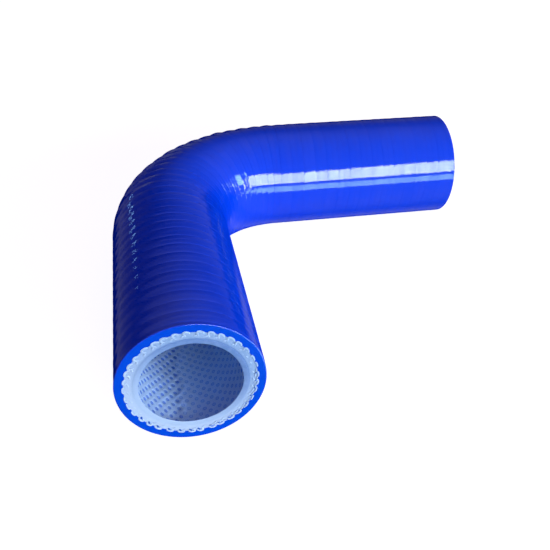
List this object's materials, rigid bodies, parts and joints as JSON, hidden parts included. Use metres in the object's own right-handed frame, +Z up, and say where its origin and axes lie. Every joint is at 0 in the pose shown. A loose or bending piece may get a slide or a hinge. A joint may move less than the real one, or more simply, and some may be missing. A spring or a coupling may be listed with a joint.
{
  "type": "silicone elbow hose",
  "caption": "Right-angle silicone hose with a wrapped blue cover, a knitted fabric sleeve and a milky liner, cut square at both ends.",
  "frame": {"origin": "on the floor under the middle of the hose's footprint, with the hose lying flat", "axes": "+Z up, square to the plane of the bend; the near leg opens towards -Y and the far leg towards +X"},
  "size_m": [0.1186, 0.1194, 0.035],
  "materials": {
    "cover": "glossy blue silicone with the fine ridges of its wrapping tape",
    "fabric": "white knitted polyester, cut across its loops",
    "liner": "smooth milky silicone that lets the fabric show through"
  },
  "bodies": {
    "root": {"outer_cover": "cover", "fabric_sleeve": "fabric", "inner_liner": "liner"}
  },
  "joints": []
}
